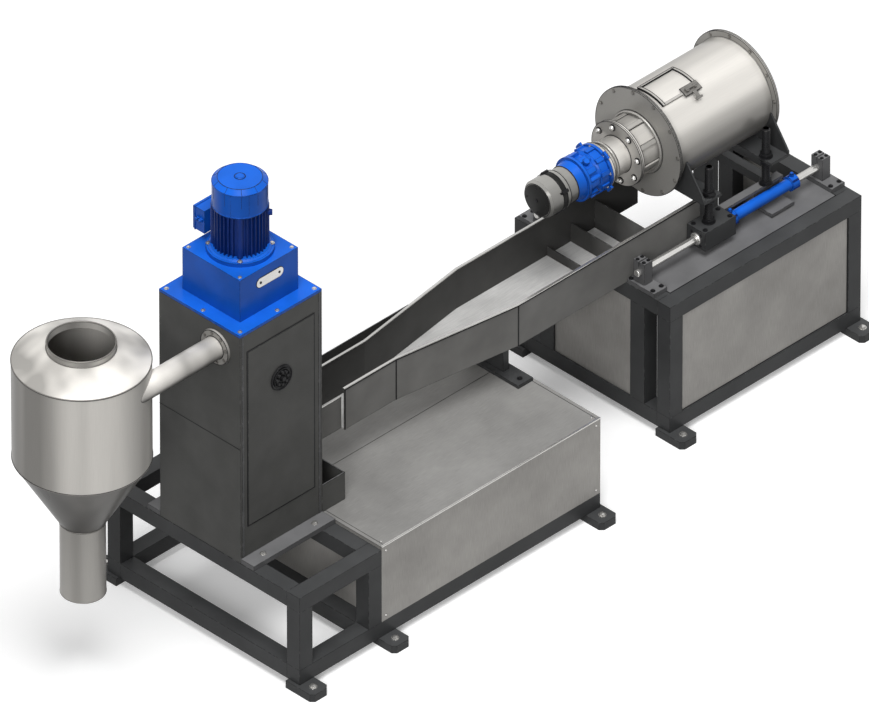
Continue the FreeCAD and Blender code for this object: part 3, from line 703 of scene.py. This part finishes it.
def cabinet_details():
    low, high = box("cabinet_front_sheet")
    gasket, wide, proud = bmesh.new(), 0.005, 0.0015
    for x in (low.x, high.x - wide):
        bar(gasket, (x, low.y - proud, low.z), (x + wide, low.y, high.z))
    for z in (low.z, high.z - wide):
        bar(gasket, (low.x, low.y - proud, z), (high.x, low.y, z + wide))
    low, high = box("cabinet_deck")
    wide, top = 0.004, high.z + 0.0008
    bar(gasket, (low.x, low.y, high.z), (high.x, low.y + wide, top))
    for x in (low.x, high.x - wide):
        bar(gasket, (x, low.y, high.z), (x + wide, high.y, top))
    piece("cabinet_gaskets", gasket, "base", BLACK)


def rod_details():
    low, high = box("rod_supports")
    rod_low, rod_high = box("guide_rods")
    bolts, caps = bmesh.new(), bmesh.new()
    rods = ((-1, rod_low.y + ROD_RADIUS), (1, rod_high.y - ROD_RADIUS))
    for x in (low.x + 0.046, high.x - 0.046):
        for side, y in rods:
            for foot_y in (y - side * 0.052, y + side * 0.1):
                for dx in (-0.03, 0.03):
                    bolt(bolts, (x + dx, foot_y, SUPPORT_PLATE_TOP), UP, 0.010)
            for dx in (-0.016, 0.016):
                for dy in (0.022, -0.022):
                    bolt(bolts, (x + dx, y + dy, high.z), UP, 0.008)
    for _, y in rods:
        lathe(caps, (rod_low.x, y, ROD_LEVEL), WEST, CAP_SECTION, 32)
        lathe(caps, (rod_high.x, y, ROD_LEVEL), EAST, CAP_SECTION, 32)
    piece("support_bolts", bolts, "base", BLACK)
    piece("rod_end_caps", caps, "base", BRIGHT)


# Where the drum's screws stand: along from the blocks' left end, and off the drum's axis
SCREW_SPOTS = ((0.090, 0.354), (0.528, 0.324))
# Undersides of the nuts and the washers above the blocks
NUT_LEVELS, WASHER_LEVELS = (0.004, 0.126, 0.169), (0.0, 0.146, 0.165)
DRUM_AXIS_Y, DRUM_AXIS_Z = 0.790, 1.360
PITCH, THREAD_ROOT, THREAD_CREST, SCREW_TOP = 0.007, 0.0195, 0.022, 0.334


def thread_section():
    """Half section of a screw. The nuts are separate, so it is thread all the way."""
    points = [(THREAD_ROOT, 0.0)]
    for i in range(int(SCREW_TOP / PITCH)):
        points += [(THREAD_CREST, (i + 0.35) * PITCH), (THREAD_CREST, (i + 0.6) * PITCH),
                   (THREAD_ROOT, (i + 0.95) * PITCH)]
    return points + [(THREAD_ROOT, SCREW_TOP), (0.016, SCREW_TOP + 0.006)]


def screws():
    """Threaded rods with their hexagon nuts and washers, in place of the plain solids."""
    low, high = box("carriage_blocks")
    rods, nuts, tops = bmesh.new(), bmesh.new(), bmesh.new()
    for along, off in SCREW_SPOTS:
        for sign in (-1, 1):
            place = Vector((low.x + along, DRUM_AXIS_Y + sign * off, high.z))
            lathe(rods, place, UP, thread_section(), 24)
            prism(tops, place + UP * 0.3335, UP, 0.0200, 0.0065, 20, tip=0.0150)
            for level in NUT_LEVELS:
                prism(nuts, place + UP * level, UP, 0.034, 0.020, 6, turn=0.26)
            for level in WASHER_LEVELS:
                prism(nuts, place + UP * level, UP, 0.036, 0.004, 28)
    made = [piece("threaded_rods", rods, "carriage", BLACK),
            piece("hexagon_nuts", nuts, "carriage", BLACK, bevel=0.0015),
            piece("rod_ends", tops, "carriage", RIM)]
    for one in made:
        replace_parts(one, "drum_screws")


def block_details():
    low, high = box("carriage_blocks")
    wipers, bolts = bmesh.new(), bmesh.new()
    for y_low, y_high in ((low.y, low.y + BLOCK_WIDE), (high.y - BLOCK_WIDE, high.y)):
        for x in (low.x + BLOCK_BOLT_IN, high.x - BLOCK_BOLT_IN):
            for y in (y_low + BLOCK_BOLT_IN, y_high - BLOCK_BOLT_IN):
                bolt(bolts, (x, y, high.z), UP, 0.010)
        face = Vector((low.x, (y_low + y_high) / 2, ROD_LEVEL))
        lathe(wipers, face, WEST, WIPER_SECTION, 40)
        for spot in circle(face, WEST, 0.044, 4, math.pi / 4):
            bolt(bolts, spot, WEST, 0.006)
    piece("block_bolts", bolts, "carriage", BLACK)
    piece("rod_wipers", wipers, "carriage", BRIGHT)


def cylinder_details():
    low, high = box("carriage_cylinders")
    ports, ties = bmesh.new(), bmesh.new()
    for y in (low.y + CYLINDER_RADIUS, high.y - CYLINDER_RADIUS):
        for end, way in ((low.x, EAST), (high.x, WEST)):
            head = Vector((end, y, ROD_LEVEL)) + way * HALF_HEAD
            prism(ports, head + UP * 0.038, UP, 0.013, 0.014, 6)
            prism(ports, head + UP * 0.051, UP, 0.009, 0.008, 20)
            for spot in circle(head, EAST, 0.0385, 6, 0.3):
                prism(ties, spot + WEST * 0.020, EAST, 0.006, 0.040, 10)
            ring(ports, head + way * HALF_HEAD, EAST, 0.0305, 0.004, 40)
    piece("cylinder_ports", ports, "carriage", BLUE)
    piece("cylinder_tie_bosses", ties, "carriage", NAVY)


# Drum and drive

def on_axis(x):
    """The point of the drum's axis at x."""
    return Vector((x, DRUM_AXIS_Y, DRUM_AXIS_Z))


def on_drum(x, angle, radius):
    """A point off the drum's axis; the angle is from straight up towards the front."""
    return on_axis(x) + (SOUTH * math.sin(angle) + UP * math.cos(angle)) * radius


def curved_bar(bm, x_low, x_high, first, last, inner, outer, steps=24):
    """A bar wrapped round the drum's axis between two angles."""
    section = ((x_low, inner), (x_high, inner), (x_high, outer), (x_low, outer))
    rows = []
    for i in range(steps + 1):
        a = first + (last - first) * i / steps
        rows.append([bm.verts.new(on_drum(x, a, r)) for x, r in section])
    skin(bm, rows)


def axis_rings(bm, rows, thick, sides=96, rounds=6):
    """Rings round the drum's axis from (x, radius) pairs."""
    for x, radius in rows:
        ring(bm, on_axis(x), EAST, radius, thick, sides, rounds)


RIM_THICK, RIM_RADIUS, RIM_EDGE, SHELL_LINE = 0.016, 0.300, 0.3003, 0.268
HUB_RIBS, HUB_RIB_HALF = 8, 0.075


def drum_details():
    low, high = box("drum_flanges")
    bolts, welds = bmesh.new(), bmesh.new()
    inner_low, inner_high = low.x + RIM_THICK, high.x - RIM_THICK
    for x, way in ((low.x, WEST), (inner_low, EAST), (inner_high, WEST), (high.x, EAST)):
        for spot in circle(on_axis(x), way, 0.283, 12, 0.13):
            bolt(bolts, spot, way, 0.0085)
    piece("drum_bolts", bolts, "carriage", RIM)
    hub = box("drum_bearing_hub")[0].x
    domes, washers = bmesh.new(), bmesh.new()
    dome = [(0.0145, 0), (0.0145, 0.006), (0.011, 0.013), (0.004, 0.017)]
    for spot in circle(on_axis(hub), WEST, 0.150, 8, 0.2):
        prism(washers, spot, WEST, 0.019, 0.004, 20)
        lathe(domes, spot + WEST * 0.003, WEST, dome, 20)
    piece("hub_domes", domes, "carriage", BRIGHT)
    piece("hub_washers", washers, "carriage", BLACK)
    axis_rings(welds, ((low.x + 0.008, 0.2955), (high.x - 0.008, 0.2955)), 0.0045, 96, 8)
    axis_rings(welds, ((low.x + 0.018, 0.2655), (high.x - 0.018, 0.2655)), 0.003, 96, 8)
    rib_angles = [2 * math.pi * (i + 0.3) / HUB_RIBS for i in range(HUB_RIBS)]
    for a in rib_angles:
        curved_bar(welds, hub + 0.019, hub + 0.150, a - HUB_RIB_HALF, a + HUB_RIB_HALF, 0.149, 0.163, 2)
    axis_rings(welds, ((hub + 0.142, 0.168), (hub - 0.1, 0.108)), 0.007, 72, 8)
    piece("hub_ribs_and_welds", welds, "carriage", PLATE)
    drum_lines(low.x, high.x, inner_low, inner_high, hub, rib_angles)


def drum_lines(left, right, inner_left, inner_right, hub, rib_angles):
    """Dark joint lines where drum, flanges, hub and neck meet."""
    lines = bmesh.new()
    flanges = ((left, RIM_RADIUS), (left + 0.0055, RIM_EDGE), (left + 0.0105, RIM_EDGE),
               (inner_left, RIM_RADIUS), (inner_left + 0.0005, SHELL_LINE),
               (inner_right - 0.0005, SHELL_LINE), (inner_right, RIM_RADIUS),
               (right - 0.008, RIM_EDGE), (right, RIM_RADIUS))
    hub_steps = ((hub, 0.178), (hub + 0.008, 0.1785), (hub + 0.020, 0.178), (hub + 0.0205, 0.151),
                 (hub + 0.1495, 0.176))
    neck_steps = ((hub - 0.002, 0.104), (hub - 0.085, 0.103), (hub - 0.120, 0.103),
                  (hub - 0.134, 0.124), (hub - 0.150, 0.124))
    axis_rings(lines, flanges + hub_steps + neck_steps, 0.0016)
    for a in rib_angles:
        for edge in (a - 0.078, a + 0.078):
            prism(lines, on_drum(hub + 0.020, edge, 0.1515), EAST, 0.0014, 0.129, 6)
    piece("drum_gasket_lines", lines, "carriage", BLACK)


# The hatch's edges as angles from the top of the drum towards the front, and its frame's bars
HATCH_FAR, HATCH_NEAR, HATCH_BAR, HATCH_BAR_ANGLE = -0.24, 0.45, 0.014, 0.05
# Inner and outer radii of the hatch's lid, frame and dark edges
HATCH_LID, HATCH_FRAME, HATCH_EDGE = (0.2645, 0.2695), (0.269, 0.277), (0.266, 0.2785)


def hatch_details():
    low, high = box("drum_hatch")
    lid, edges, bars = bmesh.new(), bmesh.new(), bmesh.new()
    curved_bar(lid, low.x, high.x, HATCH_FAR, HATCH_NEAR, *HATCH_LID)
    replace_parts(piece("hatch_lid", lid, "carriage", ROLLED), "drum_hatch")
    for x in (low.x - 0.001, low.x + HATCH_BAR, high.x - HATCH_BAR, high.x + 0.001):
        curved_bar(edges, x - 0.0013, x + 0.0013, HATCH_FAR, HATCH_NEAR, *HATCH_EDGE)
    for a in (HATCH_FAR, HATCH_FAR + HATCH_BAR_ANGLE):
        curved_bar(edges, low.x, high.x, a - 0.005, a + 0.005, *HATCH_EDGE, 2)
    piece("hatch_edges", edges, "carriage", BLACK)
    for x in (low.x, high.x - HATCH_BAR):
        curved_bar(bars, x, x + HATCH_BAR, HATCH_FAR, HATCH_NEAR, *HATCH_FRAME)
    for a in (HATCH_FAR, HATCH_NEAR - HATCH_BAR_ANGLE):
        curved_bar(bars, low.x, high.x, a, a + HATCH_BAR_ANGLE, *HATCH_FRAME, 4)
    piece("hatch_frame", bars, "carriage", PLATE)
    hatch_latch(high.x - 0.050, HATCH_NEAR)


def hatch_latch(x, near):
    """The latch plate at the hatch's near corner: two studs under a bar, and a hook that hangs from it."""
    latch, gasket = bmesh.new(), bmesh.new()
    curved_bar(latch, x - 0.055, x + 0.055, near - 0.12, near + 0.06, 0.2775, 0.2825, 6)
    for dx in (-0.030, 0.024):
        spot = on_drum(x + dx, near - 0.03, 0.2820)
        prism(latch, spot, spot - on_axis(x + dx), 0.013, 0.014, 16)
    curved_bar(latch, x - 0.044, x + 0.040, near - 0.045, near - 0.015, 0.2925, 0.299, 3)
    curved_bar(latch, x - 0.012, x + 0.012, near + 0.04, near + 0.20, 0.284, 0.290, 8)
    prism(latch, on_drum(x - 0.022, near + 0.20, 0.287), EAST, 0.006, 0.044, 12)
    curved_bar(gasket, x - 0.058, x + 0.058, near - 0.13, near + 0.07, 0.2765, 0.2790, 6)
    piece("hatch_latch_gasket", gasket, "carriage", BLACK)
    piece("hatch_latches", latch, "carriage", RIM, bevel=0.001)


def gearbox_details():
    low, high = box("drive_gearbox")
    ribs, bolts = bmesh.new(), bmesh.new()
    rib_pairs, lobes = 10, 6
    for i in range(rib_pairs):
        a = 2 * math.pi * i / rib_pairs
        curved_bar(ribs, low.x + 0.142, high.x - 0.020, a - 0.10, a + 0.10, 0.110, 0.127, 3)
        curved_bar(ribs, low.x + 0.064, low.x + 0.124, a + 0.08, a + 0.34, 0.100, 0.121, 3)
    for i in range(lobes):
        a = 2 * math.pi * (i + 0.25) / lobes
        prism(ribs, on_drum(low.x + 0.052, a, 0.100), EAST, 0.018, 0.088, 12)
    for a in (0.4, 2.2, 4.1):
        spot = on_drum(low.x + 0.10, a, 0.098)
        prism(ribs, spot, spot - on_axis(spot.x), 0.018, 0.030, 20)
    for a in (0.62, 2.2, 3.8, 5.3):
        curved_bar(ribs, high.x - 0.016, high.x, a - 0.16, a + 0.16, 0.120, 0.143, 5)
    piece("gearbox_ribs", ribs, "carriage", BLUE, bevel=0.0015)
    for spot in circle(on_axis(high.x), EAST, 0.115, 8, 0.2):
        bolt(bolts, spot, EAST, 0.009)
    for spot in circle(on_axis(high.x - 0.018), WEST, 0.120, 8, 0.2):
        bolt(bolts, spot, WEST, 0.007)
    piece("gearbox_bolts", bolts, "carriage", BRIGHT)


def drive_motor_details():
    low, high = box("drive_motor")
    cloud_and_sheen_depth, cover = bmesh.new(), bmesh.new()
    clamp = low.x + 0.085
    axis_rings(cloud_and_sheen_depth, ((low.x + 0.001, 0.0905), (clamp + 0.002, 0.1045), (clamp + 0.030, 0.1045),
                       (high.x - 0.061, 0.1035), (high.x - 0.002, 0.098)), 0.0024, 64)
    for i in range(4):
        a = math.pi / 4 + math.pi / 2 * i + 0.3
        prism(cloud_and_sheen_depth, on_drum(clamp - 0.004, a, 0.106), EAST, 0.010, 0.040, 12)
        prism(cloud_and_sheen_depth, on_drum(clamp - 0.014, a, 0.106), EAST, 0.006, 0.012, 6)
        prism(cloud_and_sheen_depth, on_drum(low.x - 0.007, a + 0.4, 0.070), WEST, 0.004, 0.002, 10)
    prism(cloud_and_sheen_depth, on_axis(low.x - 0.006), WEST, 0.010, 0.005, 6)
    piece("motor_bands", cloud_and_sheen_depth, "carriage", BLACK)
    end = [(0.086, -0.001), (0.086, 0.004), (0.081, 0.007), (0.004, 0.007)]
    clamp_band = [(0.1032, 0), (0.105, 0.003), (0.105, 0.029), (0.1032, 0.032)]
    lathe(cover, on_axis(low.x), WEST, end, 64)
    lathe(cover, on_axis(clamp), EAST, clamp_band, 64)
    piece("motor_end_cover", cover, "carriage", CAP)


feet_bolts()
tower_details()
star_knob()
blank_plate()
motor_details()
cyclone_details()
tank_details()
launder_details()
cabinet_details()
rod_details()
screws()
block_details()
cylinder_details()
drum_details()
hatch_details()
gearbox_details()
drive_motor_details()


# Studio

PIXELS_PER_METRE, WIDTH = 200.0, 869
LENS, SENSOR = 1340.0, 36.0
TARGET = Vector((1.697, 0.750, 0.800))
AZIMUTH, ELEVATION = math.radians(315), math.radians(36)


def camera():
    data = bpy.data.cameras.new("camera")
    data.lens, data.sensor_width = LENS, SENSOR
    distance = WIDTH / PIXELS_PER_METRE * LENS / SENSOR
    back = Vector((math.sin(AZIMUTH) * math.cos(ELEVATION), -math.cos(AZIMUTH) * math.cos(ELEVATION),
                   math.sin(ELEVATION)))
    made = bpy.data.objects.new("camera", data)
    made.location = TARGET + back * distance
    made.rotation_mode = "QUATERNION"
    made.rotation_quaternion = (-back).to_track_quat("-Z", "Y")
    data.clip_start, data.clip_end = 1.0, 1000.0
    bpy.context.scene.collection.objects.link(made)
    bpy.context.scene.camera = made


def seen(tree):
    """1 for rays from the camera, a mirror or glass, which see the pale studio."""
    rays = tree.nodes.new("ShaderNodeLightPath")
    total = rays.outputs["Is Camera Ray"]
    for name in ("Is Glossy Ray", "Is Transmission Ray"):
        most = tree.nodes.new("ShaderNodeMath")
        most.operation = "MAXIMUM"
        tree.links.new(total, most.inputs[0])
        tree.links.new(rays.outputs[name], most.inputs[1])
        total = most.outputs[0]
    return total


FLOOR_GLOW, FLOOR_GREY, SKY_GREY = 0.22, 0.30, 0.21


def floor():
    bm = bmesh.new()
    bmesh.ops.create_grid(bm, x_segments=1, y_segments=1, size=60)
    mesh = bpy.data.meshes.new("floor")
    bm.to_mesh(mesh)
    bm.free()
    n = Nodes("pale_floor")
    pale = n.ramp(n.noise(0.8), even(0.95), even(0.96))
    grey = n.add("ShaderNodeRGB")
    grey.outputs[0].default_value = (*even(FLOOR_GREY), 1)
    n.link(n.mix(seen(n.tree), grey.outputs[0], pale), n.shader.inputs["Base Color"])
    n.shader.inputs["Roughness"].default_value = 0.9
    n.shader.inputs["Specular IOR Level"].default_value = 0.0
    n.shader.inputs["Emission Color"].default_value = (1, 1, 1, 1)
    n.link(n.spread(seen(n.tree), 0.0, FLOOR_GLOW), n.shader.inputs["Emission Strength"])
    mesh.materials.append(n.material)
    made = bpy.data.objects.new("floor", mesh)
    made.location.z = -0.0005
    bpy.context.scene.collection.objects.link(made)


def lamp(name, direction, energy, spread):
    data = bpy.data.lights.new(name, "SUN")
    data.energy, data.angle = energy, math.radians(spread)
    made = bpy.data.objects.new(name, data)
    made.rotation_mode = "QUATERNION"
    made.rotation_quaternion = Vector(direction).to_track_quat("-Z", "Y")
    bpy.context.scene.collection.objects.link(made)


def world():
    """Plain grey light on the object, and a white studio to the eye and in reflections."""
    made = bpy.data.worlds.new("studio")
    bpy.context.scene.world = made
    made.use_nodes = True
    tree = made.node_tree
    tree.nodes.clear()
    out = tree.nodes.new("ShaderNodeOutputWorld")
    sky = tree.nodes.new("ShaderNodeBackground")
    white = tree.nodes.new("ShaderNodeBackground")
    sky.inputs["Color"].default_value = (*even(SKY_GREY), 1)
    white.inputs["Color"].default_value = (1, 1, 1, 1)
    choose = tree.nodes.new("ShaderNodeMixShader")
    tree.links.new(seen(tree), choose.inputs["Fac"])
    tree.links.new(sky.outputs["Background"], choose.inputs[1])
    tree.links.new(white.outputs["Background"], choose.inputs[2])
    tree.links.new(choose.outputs["Shader"], out.inputs["Surface"])


camera()
floor()
lamp("key", (0.16, 0.24, -1.0), 2.1, 35)
lamp("side", (0.80, 0.52, -0.50), 1.35, 20)
world()
bpy.context.scene.view_settings.view_transform = "Standard"
